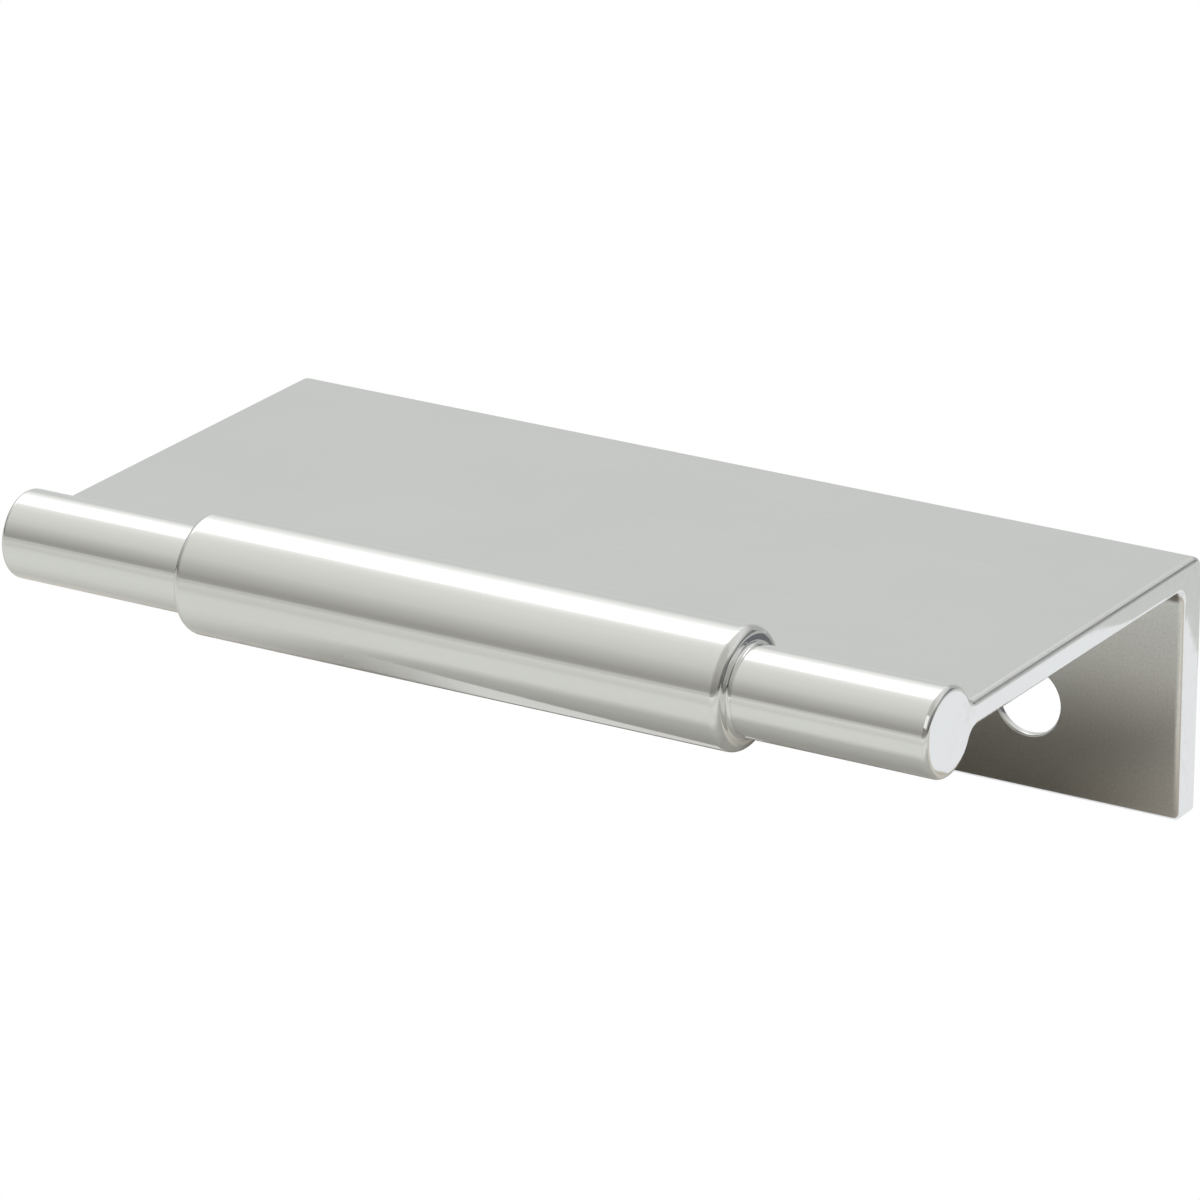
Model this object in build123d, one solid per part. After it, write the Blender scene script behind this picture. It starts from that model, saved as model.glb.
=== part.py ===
from build123d import *
from math import radians, sqrt, tan
import os

# Tab pull for the edge of a drawer front or a door, cast and polished in one piece
# The plate lies on the edge, the flange is screwed on behind it, the round bar is the grip
# The origin is midway between the two screw holes, on the flange face that meets the wood
# X runs along the pull, Y points away from the wood towards the screw heads, Z is up

# Plate
length = 76.2
plate_thickness = 2.0

# Flange, thinner towards its foot
flange_height = 19.7
flange_top_thickness = 3.0
flange_foot_thickness = 2.75
back_corner_radius = 1.2
inner_corner_radius = 1.0
foot_corner_radius = 0.5

# Bar along the front of the plate
bar_diameter = 6.6
bar_reach = 34.4
bar_axis_drop = 1.2
bar_web_top_radius = 0.8
bar_web_under_radius = 1.2

# Thicker grip in the middle of the bar
grip_length = 45.0
grip_step = 1.2
grip_end_radius = 0.75
grip_root_radius = 0.3

# Screw holes, countersunk from the back
hole_diameter = 5.2
hole_spacing = 51.5
hole_drop = 12.8
hole_land = 0.6
countersink_angle = 90.0
hole_rim_radius = 0.15

# Softened edges at both ends
end_edge_radius = 0.45

# Levels and radii that follow from the sizes above
plate_top = hole_drop
plate_under = plate_top - plate_thickness
flange_foot = plate_top - flange_height
bar_y = -bar_reach
bar_z = plate_top - bar_axis_drop
bar_radius = bar_diameter / 2
grip_radius = bar_radius + grip_step


def web_y(radius, z):
    """Where a round of this radius about the bar's axis runs into the plate at one level."""
    return bar_y + sqrt(radius**2 - (z - bar_z) ** 2)


def round_corner(outline, point, radius):
    """The outline with the corner nearest to a point rounded."""
    return fillet(outline.vertices().sort_by_distance((*point, 0))[0], radius)


def cross_section():
    """Plate, flange and bar seen from the end, with their rounded corners."""
    corners = Polyline(
        (bar_y, plate_top),
        (flange_top_thickness, plate_top),
        (flange_foot_thickness, flange_foot),
        (0, flange_foot),
        (0, plate_under),
        (bar_y, plate_under),
        close=True,
    )
    outline = make_face(corners) + Pos(bar_y, bar_z) * Circle(bar_radius)
    roundings = (
        ((flange_top_thickness, plate_top), back_corner_radius),
        ((0, plate_under), inner_corner_radius),
        ((flange_foot_thickness, flange_foot), foot_corner_radius),
        ((0, flange_foot), foot_corner_radius),
        ((web_y(bar_radius, plate_top), plate_top), bar_web_top_radius),
        ((web_y(bar_radius, plate_under), plate_under), bar_web_under_radius),
    )
    for point, radius in roundings:
        outline = round_corner(outline, point, radius)
    return outline


def casting():
    """The cross-section drawn out along the pull, with its end edges softened."""
    drawn = extrude(Plane.YZ * cross_section(), length / 2, both=True)
    ends = drawn.faces().sort_by(Axis.X)
    return fillet(ends[0].edges() + ends[-1].edges(), min(end_edge_radius, foot_corner_radius))


def grip():
    """The thicker middle of the bar, turned about its axis, with rounded ends."""
    shoulder = grip_length / 2
    corners = Polyline(
        (-shoulder, 0),
        (-shoulder, grip_radius),
        (shoulder, grip_radius),
        (shoulder, 0),
        close=True,
    )
    outline = make_face(corners)
    for x in (-shoulder, shoulder):
        outline = round_corner(outline, (x, grip_radius), min(grip_end_radius, 0.65 * grip_step))
    return Pos(0, bar_y, bar_z) * revolve(outline, Axis.X, 360)


def with_soft_root(body):
    """The body with a small fillet all round the line where the grip leaves plate and bar."""
    seams = [
        body.edges().sort_by_distance((0, web_y(grip_radius, z), z))[0]
        for z in (plate_top, plate_under)
    ]
    return fillet(seams, min(grip_root_radius, 0.3 * grip_step))


def hole_cutter(x):
    """A screw hole's straight land, and the cone behind it for the screw's head."""
    reach = 2 * flange_top_thickness
    radius = hole_diameter / 2
    widest = radius + (reach - hole_land) * tan(radians(countersink_angle / 2))
    land = Cylinder(radius, 2 * reach)
    cone = Cone(radius, widest, reach - hole_land, align=(Align.CENTER, Align.CENTER, Align.MIN))
    along_screw = Plane(origin=(x, 0, 0), x_dir=(1, 0, 0), z_dir=(0, 1, 0))
    return along_screw * (land + Pos(0, 0, hole_land) * cone)


def with_screw_holes(body):
    """The body with both holes cut, and the rims that touch the wood lightly rounded."""
    holes = (-hole_spacing / 2, hole_spacing / 2)
    for x in holes:
        body -= hole_cutter(x)
    rims = [body.edges().sort_by_distance((x, 0, -hole_diameter / 2))[0] for x in holes]
    return fillet(rims, min(hole_rim_radius, 0.5 * hole_land))


os.makedirs("parts", exist_ok=True)
tab_pull = with_screw_holes(with_soft_root(casting() + grip()))
export_step(tab_pull, "parts/tab_pull.step")
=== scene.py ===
# %% [markdown]
# # A polished tab pull
# A tab pull hooks over the edge of a drawer front or a door. A flat plate lies on the edge, a flange behind it takes
# two screws, and a round bar with a thicker middle is what the fingers pull. The real one is cast in one piece,
# ground, polished and chrome plated, so here it is one piece as well. Everything is in metres and in the frame of the
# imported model: X runs along the pull, Y points out of the wood towards the screw heads, and Z is up.

import math

import bmesh
import bpy
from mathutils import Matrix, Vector


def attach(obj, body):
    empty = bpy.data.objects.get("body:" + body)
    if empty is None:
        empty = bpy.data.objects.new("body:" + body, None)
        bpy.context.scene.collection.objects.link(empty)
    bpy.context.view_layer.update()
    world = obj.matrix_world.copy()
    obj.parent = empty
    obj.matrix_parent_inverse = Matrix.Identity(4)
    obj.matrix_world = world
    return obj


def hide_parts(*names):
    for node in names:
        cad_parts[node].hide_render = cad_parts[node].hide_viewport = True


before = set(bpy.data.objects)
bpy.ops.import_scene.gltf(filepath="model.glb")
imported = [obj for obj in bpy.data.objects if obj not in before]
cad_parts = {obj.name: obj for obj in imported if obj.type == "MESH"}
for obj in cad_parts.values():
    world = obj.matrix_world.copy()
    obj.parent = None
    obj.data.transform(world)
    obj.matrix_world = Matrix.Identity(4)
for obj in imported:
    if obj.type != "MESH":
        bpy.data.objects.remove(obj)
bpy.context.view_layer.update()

# %% [markdown]
# ## Sizes
# The maker's sizes are written once, in metres. The casting has three parts that are seen in its cross-section: the
# plate, the flange with a little draft on its back, and the bar. What follows from them is worked out here too, so
# a thicker plate or a longer bar needs one change. The bar steps up to the grip a hair's breadth beside the grip's
# shoulder, so that no two places along the pull are the same.

# %% Sizes of the pull
MM = 0.001
length = 76.2 * MM
plate_thickness = 2.0 * MM
plate_top = 12.8 * MM
flange_height = 19.7 * MM
flange_top_thickness = 3.0 * MM
flange_foot_thickness = 2.75 * MM
back_corner = 1.2 * MM
inner_corner = 1.0 * MM
foot_corner = 0.5 * MM
end_rounding = 0.45 * MM

bar_radius = 3.3 * MM
bar_reach = 34.4 * MM
bar_drop = 1.2 * MM
web_top = 0.8 * MM
web_under = 1.2 * MM

grip_radius = 4.5 * MM
grip_length = 45.0 * MM
grip_end = 0.75 * MM
grip_root = 0.3 * MM
step_lean = 0.01 * MM

hole_radius = 2.6 * MM
hole_spacing = 51.5 * MM
hole_rim = 0.15 * MM
hole_land = 0.6 * MM

plate_under = plate_top - plate_thickness
flange_foot = plate_top - flange_height
bar_height = plate_top - bar_drop
draft = math.atan2(flange_top_thickness - flange_foot_thickness, flange_height)
print("the flange's back leans by", round(math.degrees(draft), 2), "degrees")

# %% [markdown]
# ## Sums on sockets
# Nodes do arithmetic one Math node at a time, which is slow to write and hard to read. The class below wraps a
# node's output, so that `a * b + 1` adds the Math nodes by itself. The same class serves the shape's Geometry Nodes
# and the metal's shader, because both kinds of tree have the same Math node. The helpers after it are what most
# trees here need as well: coordinates, ramps and mixed colours.


# %% One socket, and one way to add a node
class Socket:
    """An output of a node that can be used in sums."""

    def __init__(self, tree, output):
        self.tree = tree
        self.output = output

    def math(self, operation, *others):
        numbers = dict(enumerate((self, *others)))
        return node(self.tree, "ShaderNodeMath", {"operation": operation}, numbers)

    def __add__(self, other):
        return self.math("ADD", other)

    def __sub__(self, other):
        return self.math("SUBTRACT", other)

    def __rsub__(self, other):
        return node(self.tree, "ShaderNodeMath", {"operation": "SUBTRACT"}, {0: other, 1: self})

    def __mul__(self, other):
        return self.math("MULTIPLY", other)

    def __truediv__(self, other):
        return self.math("DIVIDE", other)

    def __neg__(self):
        return self.math("MULTIPLY", -1.0)

    __radd__ = __add__
    __rmul__ = __mul__


def node(tree, kind, settings=None, sockets=None, output=0):
    """Adds a node, makes its settings, fills its sockets with values or links, and gives one output."""
    made = tree.nodes.new(kind)
    for name, value in (settings or {}).items():
        setattr(made, name, value)
    for name, value in (sockets or {}).items():
        if isinstance(value, Socket):
            tree.links.new(value.output, made.inputs[name])
        elif value is not None:
            made.inputs[name].default_value = value
    return Socket(tree, made.outputs[output]) if made.outputs else made


# %% Coordinates, ramps and mixed colours
def coordinates(tree, vector):
    """The X, the Y and the Z of a vector."""
    outputs = node(tree, "ShaderNodeSeparateXYZ", sockets={0: vector}).output.node.outputs
    return [Socket(tree, output) for output in outputs]


def ramp(tree, number, stops):
    """A colour that changes with a number, from stops of (place, grey or colour)."""
    blend = node(tree, "ShaderNodeValToRGB", sockets={0: number})
    elements = blend.output.node.color_ramp.elements
    while len(elements) < len(stops):
        elements.new(1.0)
    for element, (place, colour) in zip(elements, stops):
        element.position = place
        element.color = (*colour, 1.0) if isinstance(colour, tuple) else (colour, colour, colour, 1.0)
    return blend


def spread(number, start, end):
    """The number, moved and scaled so that it is 0 at start and 1 at end, as a ramp wants it."""
    return (number - start) / (end - start)


def rise(tree, number, start, end):
    """0 where the number is under start, 1 where it is over end, and a slope between them."""
    return ramp(tree, number, [(start, 0.0), (end, 1.0)])


def gate(tree, number, start, opened, closing, end):
    """1 between opened and closing, 0 before start and after end, and slopes between them."""
    return ramp(tree, number, [(start, 0.0), (opened, 1.0), (closing, 1.0), (end, 0.0)])


def mixed(tree, share, first, second, blend="MIX"):
    """Two colours, blended or added. A Mix node keeps its colours in sockets 6 and 7, and gives one in socket 2."""
    first, second = ((*colour, 1.0) if isinstance(colour, tuple) else colour for colour in (first, second))
    settings = {"data_type": "RGBA", "blend_type": blend}
    return node(tree, "ShaderNodeMix", settings, {"Factor": share, 6: first, 7: second}, output=2)


# %% [markdown]
# ## The marks in the metal
# The pull is chrome over a polished casting. A mirror alone looks like a drawing, because real polishing leaves
# faint lines along the wheel's path, soft clouds of slightly duller metal and a hint of waviness. The lines are
# noise stretched along X, the way the pull was held to the wheel, and the clouds and waves are plain noise. All of
# it reads Object coordinates, so the marks lie in the metal itself, and noise stays fine from close by, where a
# painted picture would blur.

# %% Lines, clouds, waves, nicks and grain
chrome = bpy.data.materials.new("polished_chrome")
chrome.use_nodes = True
metal = chrome.node_tree
metal.nodes.clear()


def noise(vector, scale, detail):
    """A noise pattern in the metal."""
    return node(metal, "ShaderNodeTexNoise", sockets={"Vector": vector, "Scale": scale, "Detail": detail})


place = node(metal, "ShaderNodeTexCoord", output="Object")
along_wheel = node(metal, "ShaderNodeMapping", sockets={"Vector": place, "Scale": (60.0, 2600.0, 2600.0)})
lines = noise(along_wheel, 1.0, 3.0)
clouds = noise(place, 90.0, 4.0)
waves = noise(place, 45.0, 1.0)
nicks = rise(metal, noise(place, 1400.0, 3.0), 0.40, 0.62)
grain = rise(metal, noise(place, 5200.0, 2.0), 0.32, 0.68)
print("patterns in the metal:", sum(one.type == "TEX_NOISE" for one in metal.nodes))

# %% [markdown]
# ## Where the marks lie
# Rounded edges rub on hands and cloths, so fine nicks show where a number called wear, kept on the mesh, is high.
# The inner side of plate and flange is out of the wheel's reach and keeps the grain of the grinding. The two end
# faces are buffed flat last and are the clearest mirrors. A mask could be painted by hand for each of these places,
# but the sizes above already say where they are, so a few comparisons do.

# %% Worn edges, the ground inner side and the buffed ends
inner_side_from = -29 * MM
past_surface = 0.05 * MM
before_end = 0.02 * MM

along, across, upwards = coordinates(metal, place)
worn = node(metal, "ShaderNodeAttribute", {"attribute_name": "wear"}, output="Fac") * nicks
between = across.math("GREATER_THAN", inner_side_from) * across.math("LESS_THAN", past_surface)
inner_side = between * upwards.math("LESS_THAN", plate_under + past_surface)
end_faces = along.math("ABSOLUTE").math("GREATER_THAN", length / 2 - before_end)
print("the end faces are buffed from", round((length / 2 - before_end) / MM, 2), "mm outwards")

# %% [markdown]
# ## Chrome
# One metal shader does for the whole pull. The marks only move its roughness, its colour and a very small bump, so
# the reflections stay crisp. Worn nicks and ground metal are a little duller and greyer than the polished chrome.

# %% Roughness, colour and bump of the chrome
mirror_roughness = 0.045
cloud_roughness, line_roughness = 0.05, 0.03
nick_roughness, ground_roughness = 0.12, 0.08
buffing = 0.6
lines_left_by_buffing = 0.15
wave_height = 40.0
bump_strength, bump_depth = 0.12, 0.02 * MM

shaded_chrome, bright_chrome = (0.82, 0.82, 0.805), (0.88, 0.885, 0.875)
cloud_share, nick_share = 0.65, 0.6
nick_grey = (0.78, 0.77, 0.745)
ground_grey = (0.75, 0.745, 0.73)

polish = mirror_roughness + cloud_roughness * clouds + line_roughness * lines
roughness = polish * (1.0 - buffing * end_faces) + nick_roughness * worn + ground_roughness * inner_side
tone = mixed(metal, cloud_share * clouds + (1.0 - cloud_share) * lines, shaded_chrome, bright_chrome)
tone = mixed(metal, nick_share * worn, tone, nick_grey)
tone = mixed(metal, inner_side * grain, tone, ground_grey)
height = lines * (1.0 - (1.0 - lines_left_by_buffing) * end_faces) + wave_height * waves
relief = {"Strength": bump_strength, "Distance": bump_depth, "Height": height}
bump = node(metal, "ShaderNodeBump", sockets=relief)
finish = {"Base Color": tone, "Metallic": 1.0, "Roughness": roughness, "Normal": bump}
shader = node(metal, "ShaderNodeBsdfPrincipled", sockets=finish)
node(metal, "ShaderNodeOutputMaterial", sockets={"Surface": shader})
print("nodes in the chrome:", len(metal.nodes))

# %% [markdown]
# ## The casting's spine
# The pull has the same outline all along, except that the round bar swells into the grip and the edges are softened
# at both ends. So the shape is a row of stations along X, each with four numbers: how thick the round is there, how
# far the outline is drawn in, and how worn the grip's edge and the end's edge are. Stations lie close together only
# where something curves. They are stored on the vertices of a plain line of edges, the spine, which Geometry Nodes
# then turns into metal.


# %% Stations from the middle to one end
grip_end_steps, grip_root_steps, end_steps = 10, 6, 6


def quarter(steps):
    """Sine and cosine over a quarter turn."""
    angles = [math.pi / 2 * k / steps for k in range(steps + 1)]
    return [(math.sin(a), math.cos(a)) for a in angles]


def half_spine():
    """Place, thickness of the round, draw-in, wear on the round and wear on the end, from the middle outwards."""
    shoulder = grip_length / 2
    end = length / 2
    stations = [(shoulder / 2, grip_radius, 0.0, 0.0, 0.0)]
    for s, c in quarter(grip_end_steps):
        x = shoulder - grip_end + grip_end * s
        stations.append((x, grip_radius - grip_end + grip_end * c, 0.0, 2 * s * c, 0.0))
    for s, c in quarter(grip_root_steps):
        x = shoulder + step_lean + grip_root - grip_root * c
        stations.append((x, bar_radius + grip_root - grip_root * s, 0.0, 0.0, 0.0))
    stations.append(((shoulder + end) / 2, bar_radius, 0.0, 0.0, 0.0))
    for s, c in quarter(end_steps):
        x = end - end_rounding + end_rounding * s
        stations.append((x, bar_radius, end_rounding - end_rounding * c, 0.0, 2 * s * c))
    return stations


def drawn_line(name, points, **numbers):
    """An object that is a line of edges, with named numbers on its vertices."""
    mesh = bpy.data.meshes.new(name)
    mesh.from_pydata(points, [(k, k + 1) for k in range(len(points) - 1)], [])
    for key, values in numbers.items():
        mesh.attributes.new(key, "FLOAT", "POINT").data.foreach_set("value", values)
    made = bpy.data.objects.new(name, mesh)
    bpy.context.scene.collection.objects.link(made)
    return made


half = half_spine()
stations = [(-x, *numbers) for x, *numbers in reversed(half)] + [(0.0, grip_radius, 0.0, 0.0, 0.0)] + half
places, thicknesses, draw_ins, grip_wears, end_wears = zip(*stations)
pull = drawn_line(
    "polished_pull",
    [(x, 0.0, 0.0) for x in places],
    thickness=thicknesses,
    draw_in=draw_ins,
    grip_wear=grip_wears,
    end_wear=end_wears,
)
print("stations along the pull:", len(stations))

# %% [markdown]
# ## Trees that make shapes
# Geometry Nodes are usually wired by hand. Written in code, each tree needs the same few steps: a named input for
# each size, a modifier that sets the inputs, and at the end a plain mesh in place of the modifier. Both shapes of
# this file, the casting and the drill, are a grid whose rows lie on the points of a line, so that is shared too.


# %% Helpers for a geometry tree
def geometry_tree(name, sizes):
    """A new tree with a geometry in and out, and a named input for each size."""
    tree = bpy.data.node_groups.new(name, "GeometryNodeTree")
    tree.interface.new_socket("Geometry", in_out="INPUT", socket_type="NodeSocketGeometry")
    tree.interface.new_socket("Geometry", in_out="OUTPUT", socket_type="NodeSocketGeometry")
    for label, value in sizes.items():
        kind = "NodeSocketInt" if isinstance(value, int) else "NodeSocketFloat"
        tree.interface.new_socket(label, in_out="INPUT", socket_type=kind)
    tree.interface.new_socket("Metal", in_out="INPUT", socket_type="NodeSocketMaterial")
    entry = tree.nodes.new("NodeGroupInput")
    return tree, {socket.name: Socket(tree, socket) for socket in entry.outputs if socket.name}


def with_modifier(piece, tree, sizes):
    """Puts the tree on a piece, and sets its inputs by their identifiers."""
    modifier = piece.modifiers.new(tree.name, "NODES")
    modifier.node_group = tree
    for item in tree.interface.items_tree:
        if item.in_out == "INPUT" and item.name in sizes:
            modifier[item.identifier] = sizes[item.name]
        if item.in_out == "INPUT" and item.name == "Metal":
            modifier[item.identifier] = chrome


def made_plain(piece):
    """Turns what the modifiers make into the piece's own mesh, and removes them."""
    bpy.context.view_layer.update()
    evaluated = piece.evaluated_get(bpy.context.evaluated_depsgraph_get())
    plain = bpy.data.meshes.new_from_object(evaluated)
    piece.modifiers.clear()
    piece.data = plain


def grid_round(tree, line, around):
    """A grid with a row for each point of a line and a column for each step round it; the last is the first again."""
    count = node(tree, "GeometryNodeAttributeDomainSize", sockets={0: line})
    sizes = {"Size X": 1.0, "Size Y": 1.0, "Vertices X": count, "Vertices Y": around + 1}
    grid = node(tree, "GeometryNodeMeshGrid", sockets=sizes)
    index = node(tree, "GeometryNodeInputIndex")
    row = (index / (around + 1)).math("FLOOR")
    column = (index - row * (around + 1)).math("FLOORED_MODULO", around)
    return grid, row, column


def from_line(tree, line, row, data_type, value):
    """What a line carries at the point that belongs to a row."""
    settings = {"data_type": data_type, "domain": "POINT"}
    return node(tree, "GeometryNodeSampleIndex", settings, {0: line, 1: value, "Index": row})


def doubles_merged(tree, geometry):
    """The geometry with the points merged that lie on one another, such as the grid's first and last column."""
    return node(tree, "GeometryNodeMergeByDistance", sockets={"Geometry": geometry, "Distance": 0.001 * MM})


def handed_out(tree, geometry, material):
    """Makes copies real, sets the metal and gives the geometry out of the tree."""
    real = node(tree, "GeometryNodeRealizeInstances", sockets={"Geometry": geometry})
    dressed = node(tree, "GeometryNodeSetMaterial", sockets={"Geometry": real, "Material": material})
    tree.links.new(dressed.output, tree.nodes.new("NodeGroupOutput").inputs[0])


# %% [markdown]
# ## The casting's outline as a rule
# Seen from its end, the outline is seven arcs joined by straight lines: round the bar, the web under the plate, the
# inner corner, two foot corners, the back corner and the web on top. Every arc is a centre, a radius and two angles,
# and drawing the outline in only changes the radii. So one small formula places every vertex of a grid: the row
# picks the station, the column picks the arc and how far along it the vertex lies. A sweep of one fixed curve can't
# do this, because only the round changes size along the pull.

# %% The outline's seven arcs
casting_sizes = {
    "Plate top": plate_top,
    "Plate under": plate_under,
    "Flange foot": flange_foot,
    "Foot thickness": flange_foot_thickness,
    "Top thickness": flange_top_thickness,
    "Draft": draft,
    "Bar reach": bar_reach,
    "Bar height": bar_height,
    "Bar radius": bar_radius,
    "Grip radius": grip_radius,
    "Web top": web_top,
    "Web under": web_under,
    "Grip root": grip_root,
    "Inner corner": inner_corner,
    "Foot corner": foot_corner,
    "Back corner": back_corner,
    "Steps round the bar": 128,
    "Steps round a corner": 10,
}


def outline_arcs(size, thickness, draw_in):
    """Centre, radius and angles of each arc of the outline, as sums on sockets."""
    y, z = -size["Bar reach"], size["Bar height"]
    swell = (thickness - size["Bar radius"]) / (size["Grip radius"] - size["Bar radius"])
    over = size["Web top"] + swell * (size["Grip root"] - size["Web top"])
    under = size["Web under"] + swell * (size["Grip root"] - size["Web under"])
    # a web touches the round, so its centre lies both radii away from the round's centre
    over_z = size["Plate top"] + over
    under_z = size["Plate under"] - under
    over_y = y + ((thickness + over) * (thickness + over) - (over_z - z) * (over_z - z)).math("SQRT")
    under_y = y + ((thickness + under) * (thickness + under) - (z - under_z) * (z - under_z)).math("SQRT")
    over_turn = (over_z - z).math("ARCTAN2", over_y - y)
    under_turn = (z - under_z).math("ARCTAN2", under_y - y)
    inner, foot, back = size["Inner corner"], size["Foot corner"], size["Back corner"]
    lean = size["Draft"].math("TANGENT")
    slant = size["Draft"].math("COSINE")
    foot_y = size["Foot thickness"] + foot * lean - foot / slant
    foot_z = size["Flange foot"] + foot
    back_y = size["Top thickness"] - back * lean - back / slant
    right, half, three, full = (turns * math.pi / 2 for turns in (1, 2, 3, 4))
    return (
        (y, z, thickness - draw_in, over_turn, full - under_turn),
        (under_y, under_z, under + draw_in, half - under_turn, right),
        (-inner, size["Plate under"] - inner, inner + draw_in, right, 0.0),
        (foot, foot_z, foot - draw_in, half, three),
        (foot_y, foot_z, foot - draw_in, three, full - size["Draft"]),
        (back_y, size["Plate top"] - back, back - draw_in, -size["Draft"], right),
        (over_y, over_z, over + draw_in, three, half + over_turn),
    )


print("sizes that the outline follows:", len(casting_sizes))

# %% [markdown]
# ## The outline laid round every station
# Each vertex works out its row and column from its own number. The column says which arc the vertex is on and how
# far along it, the spine says how thick the round is and how far the outline is drawn in, and sine and cosine do the
# rest. The wear of the edges is kept on the vertices in the same go, because here it is known where they curve.


# %% The tree that lays the outline round every station
def pick(tree, number, choices):
    """The choice whose place in the list is number."""
    switch = tree.nodes.new("GeometryNodeIndexSwitch")
    switch.data_type = "FLOAT"
    while len(switch.index_switch_items) < len(choices):
        switch.index_switch_items.new()
    tree.links.new(number.output, switch.inputs["Index"])
    for k, choice in enumerate(choices):
        if isinstance(choice, Socket):
            tree.links.new(choice.output, switch.inputs[k + 1])
        else:
            switch.inputs[k + 1].default_value = choice
    return Socket(tree, switch.outputs[0])


casting, size = geometry_tree("Outline along a spine", casting_sizes)
spine = size["Geometry"]
round_steps, corner_steps = size["Steps round the bar"], size["Steps round a corner"]
corner_arcs = 6
grid, row, column = grid_round(casting, spine, round_steps + corner_arcs * corner_steps)
# arc 0 is the round bar, and arcs 1 to 6 are the webs and the corners
past_bar = column - round_steps
arc = ((past_bar / corner_steps).math("FLOOR") + 1).math("MAXIMUM", 0.0)
on_corner = arc.math("MINIMUM", 1.0)
share_bar = column / (round_steps - 1)
share_corner = past_bar.math("FLOORED_MODULO", corner_steps) / (corner_steps - 1)
share = share_bar + on_corner * (share_corner - share_bar)


def carried(name):
    """A named number that the spine carries at this row's station."""
    number = node(casting, "GeometryNodeInputNamedAttribute", {"data_type": "FLOAT"}, {"Name": name})
    return from_line(casting, spine, row, "FLOAT", number)


position = node(casting, "GeometryNodeInputPosition")
station_x = coordinates(casting, from_line(casting, spine, row, "FLOAT_VECTOR", position))[0]
arcs = outline_arcs(size, carried("thickness"), carried("draw_in"))
centre_y, centre_z, radius, first, last = (pick(casting, arc, column_of) for column_of in zip(*arcs))
turn = first + share * (last - first)
y = centre_y + radius * turn.math("COSINE")
z = centre_z + radius * turn.math("SINE")
point = node(casting, "ShaderNodeCombineXYZ", sockets={0: station_x, 1: y, 2: z})
laid = node(casting, "GeometryNodeSetPosition", sockets={"Geometry": grid, "Position": point})

# %% The wear of the edges, and the open casting
corner_wear = 4.0 * share * (1.0 - share) * on_corner
round_wear = carried("grip_wear") * (1.0 - on_corner)
wear = corner_wear.math("MAXIMUM", round_wear).math("MAXIMUM", carried("end_wear"))
marked = node(
    casting,
    "GeometryNodeStoreNamedAttribute",
    {"data_type": "FLOAT", "domain": "POINT"},
    {"Geometry": laid, "Name": "wear", "Value": wear},
)
handed_out(casting, doubles_merged(casting, marked), size["Metal"])
with_modifier(pull, casting, casting_sizes)
made_plain(pull)
print("the open casting has", len(pull.data.polygons), "faces")

# %% [markdown]
# ## Closing the two ends
# The grid leaves a tube that is open at both ends. Each end is one flat outline, so filling the two loops of open
# edges with one face each closes the metal. After that the mesh has an inside and an outside, and its normals are
# turned outwards in one go.


# %% Flat end faces
def close_ends(mesh):
    """Fills the open loops with flat faces, and turns every face outwards."""
    work = bmesh.new()
    work.from_mesh(mesh)
    open_edges = [edge for edge in work.edges if edge.is_boundary]
    filled = bmesh.ops.holes_fill(work, edges=open_edges, sides=0)
    bmesh.ops.recalc_face_normals(work, faces=work.faces)
    volume = round(work.calc_volume(signed=True) / MM**3)
    print("end faces added:", len(filled["faces"]), "volume in mm3:", volume)
    work.to_mesh(mesh)
    work.free()


close_ends(pull.data)

# %% [markdown]
# ## The screw holes
# Each hole is straight for a short land where the flange meets the wood, and widens behind it so that a screw's
# head sinks in. The drill that would cut it is a turned shape, so Geometry Nodes turns a profile line round, sets a
# copy at every hole, and the result is taken out of the casting. The rim on the wood side is slightly rounded, as
# polishing leaves it.

# %% The drill's profile
rim_steps = 5


def drill_profile():
    """Radius and depth along the drill, from in front of the wood face to behind the flange."""
    clear = 2 * flange_top_thickness
    points = [(0.0, -clear), (hole_radius + hole_rim, -clear)]
    for s, c in quarter(rim_steps):
        points.append((hole_radius + hole_rim - hole_rim * s, hole_rim - hole_rim * c))
    points.append((hole_radius, hole_land))
    points.append((hole_radius + clear, hole_land + clear))
    points.append((0.0, hole_land + clear))
    return points


drills = drawn_line("drills", [(radius, depth, 0.0) for radius, depth in drill_profile()])
print("points on the drill's profile:", len(drills.data.vertices))

# %% The tree that turns the profile and repeats it
drill_sizes = {"Steps round": 96, "Holes": 2, "Spacing": hole_spacing}
drilling, size = geometry_tree("Turned and repeated", drill_sizes)
profile = size["Geometry"]
steps = size["Steps round"]
grid, row, column = grid_round(drilling, profile, steps)
turn = column * (2 * math.pi) / steps
position = node(drilling, "GeometryNodeInputPosition")
radius, depth, _ = coordinates(drilling, from_line(drilling, profile, row, "FLOAT_VECTOR", position))
turned = {0: radius * turn.math("COSINE"), 1: depth, 2: radius * turn.math("SINE")}
point = node(drilling, "ShaderNodeCombineXYZ", sockets=turned)
drill = node(drilling, "GeometryNodeSetPosition", sockets={"Geometry": grid, "Position": point})
drill = doubles_merged(drilling, drill)
start = node(drilling, "ShaderNodeCombineXYZ", sockets={0: -0.5 * size["Spacing"] * (size["Holes"] - 1)})
step = node(drilling, "ShaderNodeCombineXYZ", sockets={0: size["Spacing"]})
row_of_holes = {"Count": size["Holes"], "Start Location": start, "Offset": step}
holes = node(drilling, "GeometryNodeMeshLine", {"mode": "OFFSET"}, row_of_holes)
copies = node(drilling, "GeometryNodeInstanceOnPoints", sockets={"Points": holes, "Instance": drill})
handed_out(drilling, copies, size["Metal"])
with_modifier(drills, drilling, drill_sizes)
made_plain(drills)
print(drill_sizes["Holes"], "drills have", len(drills.data.polygons), "faces")

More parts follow.
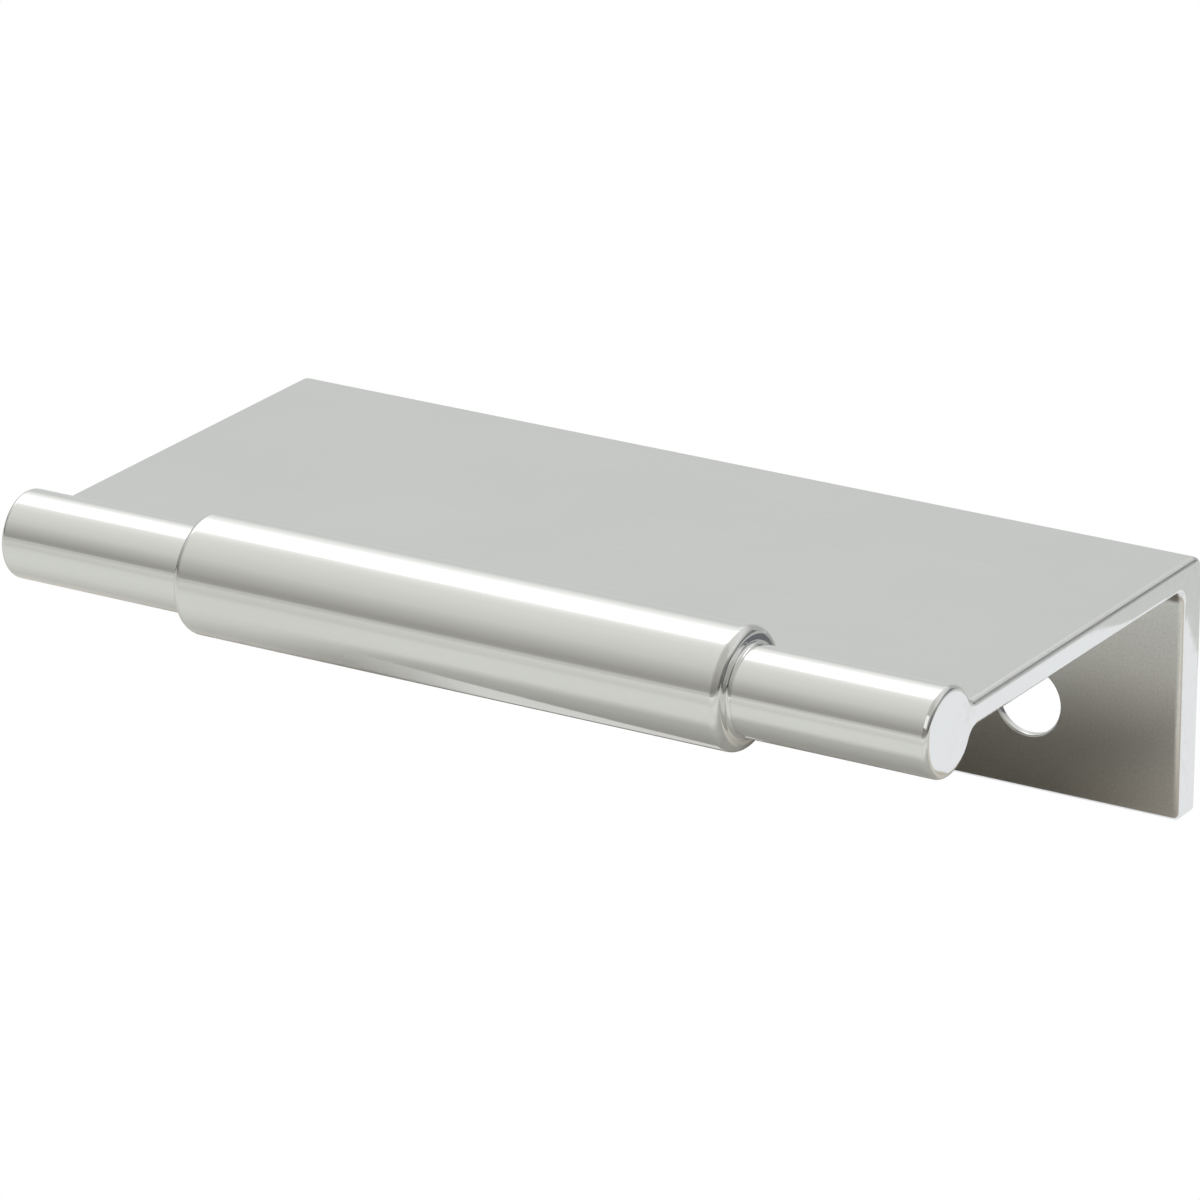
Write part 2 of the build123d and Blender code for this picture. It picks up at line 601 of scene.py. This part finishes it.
# %% [markdown]
# ## A mesh that is fit for a mirror
# A boolean takes the drills out of the casting, as drilling does on the real one. Then the mesh gets its normals,
# and in chrome the smallest fault in them shows as a bent line. Edges that turn sharply stay crisp, large faces
# outweigh small ones where they meet, and the wide flat faces get their own normal at all corners.


# %% Helpers that clean a mesh
def facing_out(mesh):
    """Merges doubles and turns every face outwards."""
    work = bmesh.new()
    work.from_mesh(mesh)
    bmesh.ops.remove_doubles(work, verts=work.verts, dist=0.0005 * MM)
    bmesh.ops.recalc_face_normals(work, faces=work.faces)
    work.to_mesh(mesh)
    work.free()


def smooth_to(mesh, sharp_angle):
    """Smooth faces, with a crisp edge wherever two of them meet at more than an angle."""
    work = bmesh.new()
    work.from_mesh(mesh)
    for face in work.faces:
        face.smooth = True
    for edge in work.edges:
        edge.smooth = edge.is_manifold and edge.calc_face_angle() < sharp_angle
    open_edges = sum(not edge.is_manifold for edge in work.edges)
    print("open edges:", open_edges, "volume in mm3:", round(work.calc_volume(signed=True) / MM**3))
    work.to_mesh(mesh)
    work.free()


def flats_stay_flat(mesh, width):
    """Gives every face that is wider than this in the cross-section its own normal at all its corners."""
    normals = [corner.vector.copy() for corner in mesh.corner_normals]
    for face in mesh.polygons:
        corners = [mesh.vertices[k].co for k in face.vertices]
        wide = max(max(c[axis] for c in corners) - min(c[axis] for c in corners) for axis in (1, 2))
        if wide > width:
            for k in face.loop_indices:
                normals[k] = face.normal.copy()
    mesh.normals_split_custom_set(normals)


# %% The holes are taken out, and the mesh is finished
sharpest_smooth_edge = math.radians(32)
widest_curved_face = 1.4 * MM

facing_out(drills.data)
cut = pull.modifiers.new("screw holes", "BOOLEAN")
cut.operation = "DIFFERENCE"
cut.solver = "EXACT"
cut.object = drills
made_plain(pull)
bpy.data.objects.remove(drills)
facing_out(pull.data)
smooth_to(pull.data, sharpest_smooth_edge)
flats = pull.modifiers.new("flat faces stay flat", "WEIGHTED_NORMAL")
flats.keep_sharp = True
made_plain(pull)
flats_stay_flat(pull.data, widest_curved_face)
pull.data.materials.clear()
pull.data.materials.append(chrome)
print("the finished pull has", len(pull.data.polygons), "faces")

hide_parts("tab_pull")
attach(pull, "root")

# %% [markdown]
# ## The camera
# The picture is taken from the right front, a little above, through a long lens, which keeps the long edges nearly
# parallel. The camera's place is worked out from the point that it looks at, two angles and its distance.

# %% A long lens from the right front
look_at = Vector((-0.93 * MM, -15.7 * MM, 7.63 * MM))
turn_to_side = math.radians(31.3)
look_down = math.radians(20.53)
distance = 568.5 * MM
sensor = 36.0
frame_pixels = 1200
focal_pixels = 7893.0

level_share = math.cos(look_down)
ahead = Vector(
    (-math.sin(turn_to_side) * level_share, math.cos(turn_to_side) * level_share, -math.sin(look_down))
)
lens = bpy.data.cameras.new("camera")
lens.sensor_width = sensor
lens.lens = focal_pixels * sensor / frame_pixels
lens.clip_start = 0.01
lens.clip_end = 20.0
camera = bpy.data.objects.new("camera", lens)
camera.location = look_at - ahead * distance
camera.rotation_euler = ahead.to_track_quat("-Z", "Y").to_euler()
bpy.context.scene.collection.objects.link(camera)
bpy.context.scene.camera = camera
print("the lens is", round(lens.lens), "mm long")

# %% [markdown]
# ## The studio
# Chrome has no colour of its own: what is seen is the room in it. So the room is built for its reflections, from
# cards, as a photographer would set them round a product. They show in the metal and nowhere else, so each can
# stand where it is needed. What the camera sees behind the pull is one plain white floor.


# %% Cards
def card(name, corners, material, seen=False):
    """A flat sheet of the studio. It shows in the metal only, or if it is seen, to the camera only."""
    mesh = bpy.data.meshes.new(name)
    mesh.from_pydata(corners, [], [tuple(range(len(corners)))])
    mesh.materials.append(material)
    made = bpy.data.objects.new(name, mesh)
    bpy.context.scene.collection.objects.link(made)
    made.visible_camera = seen
    made.visible_glossy = not seen
    made.visible_diffuse = False
    made.visible_shadow = seen
    print("card:", name)


def lying(outline, height):
    """Corners of a level sheet, from its outline in millimetres."""
    return [(x * MM, y * MM, height) for x, y in outline]


def oblong(x_from, x_to, y_from, y_to):
    """The outline of a level sheet with four square corners."""
    return (x_from, y_from), (x_to, y_from), (x_to, y_to), (x_from, y_to)


def pointing_at(name, place, sideways, near, far, low, high, material):
    """A card in a plane through one place of the pull: edge-on, and so not seen, from there."""
    corners = []
    for reach, rise_angle in ((near, low), (far, low), (far, high), (near, high)):
        flat = math.sqrt(1.0 - sideways**2)
        angle = math.radians(rise_angle)
        way = Vector((sideways, -flat * math.cos(angle), flat * math.sin(angle)))
        corners.append(place + way * reach * MM)
    card(name, corners, material)


# %% [markdown]
# ## What the cards are made of
# Most cards are matt paper, lit by the window or glowing evenly by themselves. The table's paper has painted shade
# and painted light in its colour along Y, warmer and darker where the pull shades it. Two cards fade out towards the
# left, so that no edge of theirs shows there: a glowing sheet of painted light, and a thin grey see-through sheet of
# painted shade that takes some light away from what the metal shows.


# %% Papers
def paper(name, colour, glow=0.0):
    """A matt studio surface, which may also glow in its own colour."""
    made = bpy.data.materials.new(name)
    made.use_nodes = True
    surface = made.node_tree.nodes["Principled BSDF"]
    surface.inputs["Base Color"].default_value = (*colour, 1.0) if not glow else (0.0, 0.0, 0.0, 1.0)
    surface.inputs["Roughness"].default_value = 0.9
    surface.inputs["Specular IOR Level"].default_value = 0.0
    surface.inputs["Emission Color"].default_value = (*colour, 1.0)
    surface.inputs["Emission Strength"].default_value = glow
    return made


def table_paper_with_painted_shade():
    """Matt paper with painted shade and painted light in its colour, warmer and darker where the pull shades it."""
    made = paper("table_paper_with_painted_shade", (0.5, 0.5, 0.5))
    tree = made.node_tree
    across = coordinates(tree, node(tree, "ShaderNodeTexCoord", output="Object"))[1]
    # Painted shade and painted light along Y, from 100 mm in front to the flange: darker far out in front, light
    # again from about 50 mm out, darker under the bar, light and warm just behind it, and warm and dark close to the
    # flange.
    painted_shade_stops = [
        (0.0, (0.465, 0.47, 0.455)),
        (0.15, (0.52, 0.53, 0.515)),
        (0.48, (0.57, 0.58, 0.565)),
        (0.56, (0.56, 0.57, 0.555)),
        (0.67, (0.49, 0.49, 0.475)),
        (0.75, (0.54, 0.53, 0.505)),
        (0.83, (0.59, 0.575, 0.54)),
        (0.97, (0.44, 0.41, 0.37)),
    ]
    painted_shade_ramp = ramp(tree, spread(across, -100 * MM, 0.0), painted_shade_stops)
    tree.links.new(painted_shade_ramp.output, tree.nodes["Principled BSDF"].inputs["Base Color"])
    return made


# %% A sheet of painted light and a sheet of painted shade
def see_through(name):
    """An empty material, its tree, the X and Y of its Object coordinates, and a clear shader."""
    made = bpy.data.materials.new(name)
    made.use_nodes = True
    tree = made.node_tree
    tree.nodes.clear()
    along, across, _ = coordinates(tree, node(tree, "ShaderNodeTexCoord", output="Object"))
    return made, tree, along, across, node(tree, "ShaderNodeBsdfTransparent")


def faded_in(tree, share, clear, full):
    """Lets a clear surface turn into another one."""
    both = node(tree, "ShaderNodeMixShader", sockets={0: share, 1: clear, 2: full})
    node(tree, "ShaderNodeOutputMaterial", sockets={"Surface": both})


def spill_light():
    """Painted light on the table: a glowing sheet that fades out towards the left."""
    made, tree, along, _, clear = see_through("spill_light")
    shine = node(tree, "ShaderNodeEmission", sockets={"Color": (0.93, 0.93, 0.91, 1.0)})
    faded_in(tree, rise(tree, spread(along, -25 * MM, 25 * MM), 0.14, 0.36), clear, shine)
    return made


def painted_shade_sheet():
    """Painted shade: a thin grey see-through sheet that darkens what the metal shows through it, and fades out to the
    left and to the front.
    """
    made, tree, along, across, clear = see_through("painted_shade_sheet")
    # Painted shade: the grey lets only part of the table's light through to the metal.
    shade_filter = node(tree, "ShaderNodeBsdfTransparent", sockets={"Color": (0.75, 0.745, 0.74, 1.0)})
    to_the_right = rise(tree, spread(along, -25 * MM, 25 * MM), 0.10, 0.36)
    to_the_back = rise(tree, spread(across, -50 * MM, -30 * MM), 0.20, 0.40)
    faded_in(tree, to_the_right * to_the_back, clear, shade_filter)
    return made


# %% [markdown]
# ## The table
# The table lies right under the flange, where the pull shades it, and the shade shows in the flange and in the
# underside of the bar. Part of that shade is cast by the window and part is painted into the table's colour. Behind
# the flange the table is brighter, with an edge that crosses the picture of it in the end faces. The sheet of painted
# light lies on it under the plate, and the sheet of painted shade hangs under the bar.

# %% The floor and the table
floor_reach, table_reach = 3000, 600
floor_depth = 30 * MM
just_clear = 0.05 * MM
table_top = flange_foot - 0.1 * MM

whole_floor = oblong(-floor_reach, floor_reach, -floor_reach, floor_reach)
card("floor", lying(whole_floor, flange_foot - floor_depth), paper("white_floor", (1, 1, 1), 1.0), True)
# The table's paper carries painted shade and painted light in its colour.
card("table", lying(oblong(-table_reach, table_reach, -table_reach, 0), table_top), table_paper_with_painted_shade())

back_edge = 31.2
behind_corner = ((61.9, back_edge), (61.6, 32.4), (60.6, 34.0), (60.1, 36.3), (59.8, 39.0), (59.8, 41.6))
behind_corner += ((56.4, 36.9), (54.5, 34.1), (52.4, back_edge))
behind_outline = ((-table_reach, 0), (table_reach, 0), (table_reach, back_edge))
behind_outline += (*behind_corner, (-table_reach, back_edge))
card("table_behind", lying(behind_outline, table_top), paper("behind_paper", (0.876, 0.893, 0.914), 1.0))
far_outline = oblong(-table_reach, table_reach, 0, table_reach)
card("table_far", lying(far_outline, table_top - just_clear), paper("far_paper", (0.64, 0.655, 0.64), 1.0))

# %% Painted light on the table, and painted shade over it
spill_outline = ((-18, -44), (12.5, -29.4), (14, -22), (-18, -22))
# A glowing sheet of painted light on the table under the plate, seen only in the metal.
card("light_under_the_plate", lying(spill_outline, table_top + just_clear), spill_light())
# A sheet of painted shade under the bar, seen only in the metal.
card("painted_shade_under_the_bar", lying(oblong(-24, 60, -47, -31), 2 * MM), painted_shade_sheet())

# %% [markdown]
# ## A narrow strip light
# The right end of the bar shows a bright patch that the grip beside it doesn't. A narrow strip light in a dark frame
# makes it. Both stand in a plane through the grip's right corner: from that corner they are edge-on, and only the bar
# beyond it sees them well.

# %% The strip light and its frame
grip_corner = Vector((22.2 * MM, -38.2 * MM, 14.0 * MM))
strip_way, strip_near, strip_far = 0.9, 15.6, 32
frame_low, strip_low, strip_high = 12, 17, 58
strip_paper = paper("strip_paper", (1.0, 1.0, 0.99), 1.0)
pointing_at("strip_light", grip_corner, strip_way, strip_near, strip_far, strip_low, strip_high, strip_paper)
frame_paper = paper("frame_paper", (0.05, 0.05, 0.05), 0.5)
pointing_at("strip_frame", grip_corner, strip_way, strip_near, strip_far, frame_low, strip_low, frame_paper)

# %% [markdown]
# ## The room
# The walls and the ceiling are the world, and they are drawn by direction, with two numbers. The first, over, is 0
# at the horizon in front, a half straight up and 1 at the horizon behind. The second, side, is 0 at the far left and
# 1 at the far right. The horizon in front is darker, a soft box glows overhead, the far left and right are darker,
# and a dim doorway at the back right gives the thin dark lines at the right-hand edges. The camera sees plain white
# instead.

# %% Sky, lamps and doorway by direction
world = bpy.data.worlds.new("studio")
bpy.context.scene.world = world
world.use_nodes = True
room = world.node_tree
room.nodes.clear()
way_x, way_y, way_z = coordinates(room, node(room, "ShaderNodeTexCoord", output="Generated"))
over = way_z.math("ARCTAN2", -way_y) / math.pi
side = spread(way_x, -1.0, 1.0)

sky_stops = [
    (0.0, (0.60, 0.60, 0.58)),
    (0.025, (0.355, 0.35, 0.33)),
    (0.06, (0.355, 0.35, 0.33)),
    (0.17, (0.52, 0.515, 0.485)),
    (0.25, (0.65, 0.645, 0.615)),
    (0.33, (0.715, 0.71, 0.68)),
    (0.44, (0.78, 0.78, 0.745)),
    (0.50, (0.86, 0.86, 0.83)),
    (0.54, (1.03, 1.03, 1.01)),
    (0.735, (1.15, 1.15, 1.14)),
    (0.78, (0.97, 0.98, 0.96)),
    (0.83, (0.80, 0.81, 0.79)),
    (0.865, (0.64, 0.655, 0.64)),
]
sky = ramp(room, over, sky_stops)
left_end = ramp(room, side, [(0.01, 0.6), (0.06, 0.3), (0.18, 0.0)])
right_side = rise(room, side, 0.28, 0.48)
far_right = rise(room, side, 0.92, 0.97)
edge_light = gate(room, side, 0.27, 0.33, 0.60, 0.66) * gate(room, over, 0.76, 0.79, 0.83, 0.85)
doorway = rise(room, side, 0.66, 0.69) * gate(room, over, 0.87, 0.885, 0.955, 0.97)
soft_box = gate(room, over, 0.54, 0.58, 0.70, 0.735)
print("nodes in the room so far:", len(room.nodes))

# %% The room put together
soft_box_glow, edge_glow = 2.2, 0.12
right_dimming, far_right_dimming = 0.3, 0.5
doorway_grey = (0.23, 0.235, 0.265)
white = (1.0, 1.0, 1.0)

seen_by_camera = node(room, "ShaderNodeLightPath", output="Is Camera Ray")
seen_in_metal = node(room, "ShaderNodeLightPath", output="Is Glossy Ray")
both_sides = (1.0 - right_side) * rise(room, side, 0.08, 0.25)
lamps = soft_box_glow * soft_box * (0.5 + 0.5 * seen_in_metal) * both_sides + edge_glow * edge_light
shown = mixed(room, 1.0, sky, lamps, "ADD")
shown = mixed(room, doorway, shown, doorway_grey)
shown = mixed(room, seen_by_camera, shown, white)
dark = left_end + right_dimming * right_side + far_right_dimming * far_right
strength = (1.0 - dark).math("MAXIMUM", seen_by_camera)
glow = node(room, "ShaderNodeBackground", sockets={"Color": shown, "Strength": strength})
node(room, "ShaderNodeOutputWorld", sockets={"Surface": glow})
print("nodes in the room:", len(room.nodes))

# %% [markdown]
# ## The window
# One large window in front lights the table. Only its light is wanted: its own picture would be a hard bright patch
# in the chrome, which the photograph doesn't show, so it is kept out of the metal and out of the camera's view.

# %% The window that lights the table
window_way = Vector((0.18, -0.70, 0.66)).normalized()
window_distance = 600 * MM
window_width, window_height = 320 * MM, 230 * MM
window_glow = 12.4
window_light = bpy.data.lights.new("window", "AREA")
window_light.shape = "RECTANGLE"
window_light.size = window_width
window_light.size_y = window_height
window_light.energy = window_glow * math.pi * window_width * window_height
window_light.color = (1.0, 0.99, 0.97)
window = bpy.data.objects.new("window", window_light)
window.location = window_way * window_distance
window.rotation_euler = (-window_way).to_track_quat("-Z", "Y").to_euler()
window.visible_camera = False
window.visible_glossy = False
bpy.context.scene.collection.objects.link(window)
print("the window gives", round(window_light.energy, 2), "W")

scene = bpy.context.scene
scene.view_settings.view_transform = "Standard"
scene.view_settings.look = "None"
